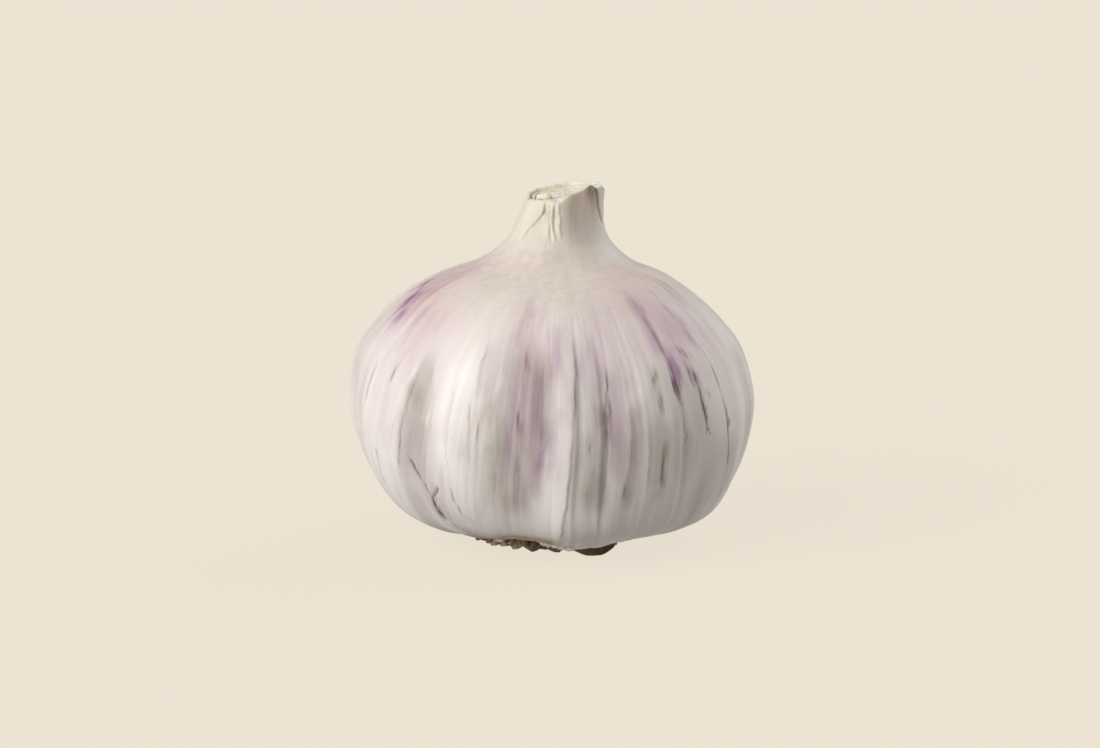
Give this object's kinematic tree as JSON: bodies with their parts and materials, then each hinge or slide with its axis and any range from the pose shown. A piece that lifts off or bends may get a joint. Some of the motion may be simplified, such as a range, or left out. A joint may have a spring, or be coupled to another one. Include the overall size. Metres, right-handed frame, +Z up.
{
  "type": "garlic bulb",
  "caption": "Whole head of garlic in its papery skins, with a trimmed neck and trimmed roots.",
  "frame": {"origin": "middle of the flat spot under the root plate that the head stands on", "axes": "+Z up through the head to the neck, -Y the front, +X the side that the neck leans to"},
  "size_m": [0.0603, 0.0604, 0.0535],
  "materials": {
    "papery_skin": "dry papery skin, satin, white with pink and purple streaks",
    "leaf_sheath": "dry fibrous leaf sheath, matte cream",
    "dried_stalk": "cut dry stalk, matte pale straw",
    "dried_root": "dry corky root plate and roots, matte brown"
  },
  "bodies": {
    "root": {"wrapped_head": "papery_skin", "inner_leaf_sheaths": "leaf_sheath", "stalk_end": "dried_stalk", "root_plate": "dried_root"}
  },
  "joints": []
}
